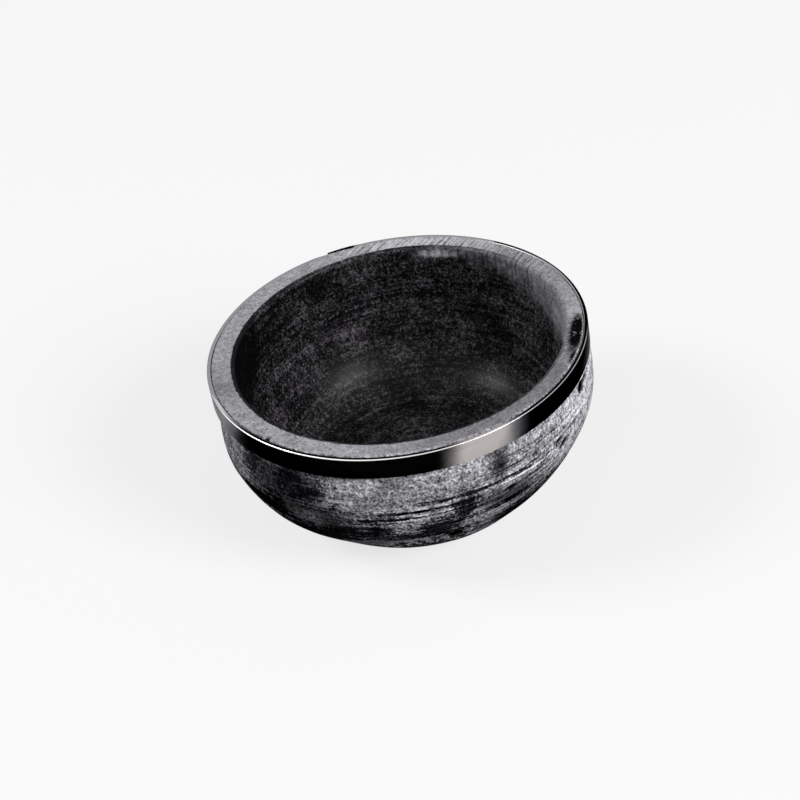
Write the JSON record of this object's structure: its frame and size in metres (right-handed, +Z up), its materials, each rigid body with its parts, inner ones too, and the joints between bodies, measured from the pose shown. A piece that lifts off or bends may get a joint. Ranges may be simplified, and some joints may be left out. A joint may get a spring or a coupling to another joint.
{
  "type": "dolsot",
  "caption": "Thick-walled stone cooking bowl on a flat foot, with a riveted steel band round its rim that holds the hot stone together.",
  "frame": {"origin": "middle of the flat foot, on the surface that the bowl stands on", "axes": "+Z up along the bowl's axis of turning; the picture looks along +Y and down, with +X to its right; the band's lap is at the back, 103.5 degrees from +X"},
  "size_m": [0.22, 0.2198, 0.1],
  "materials": {
    "stone": "turned grey stone, mottled and pitted, darkened by heat near the foot and seasoned dark inside",
    "band_steel": "polished steel strip, blackened by heat and oil, with bare bright edges",
    "rivet_steel": "domed steel rivet heads, rubbed bright on the crown"
  },
  "bodies": {
    "root": {"stone_bowl": "stone", "steel_band": "band_steel", "band_rivet_1": "rivet_steel", "band_rivet_2": "rivet_steel"}
  },
  "joints": []
}
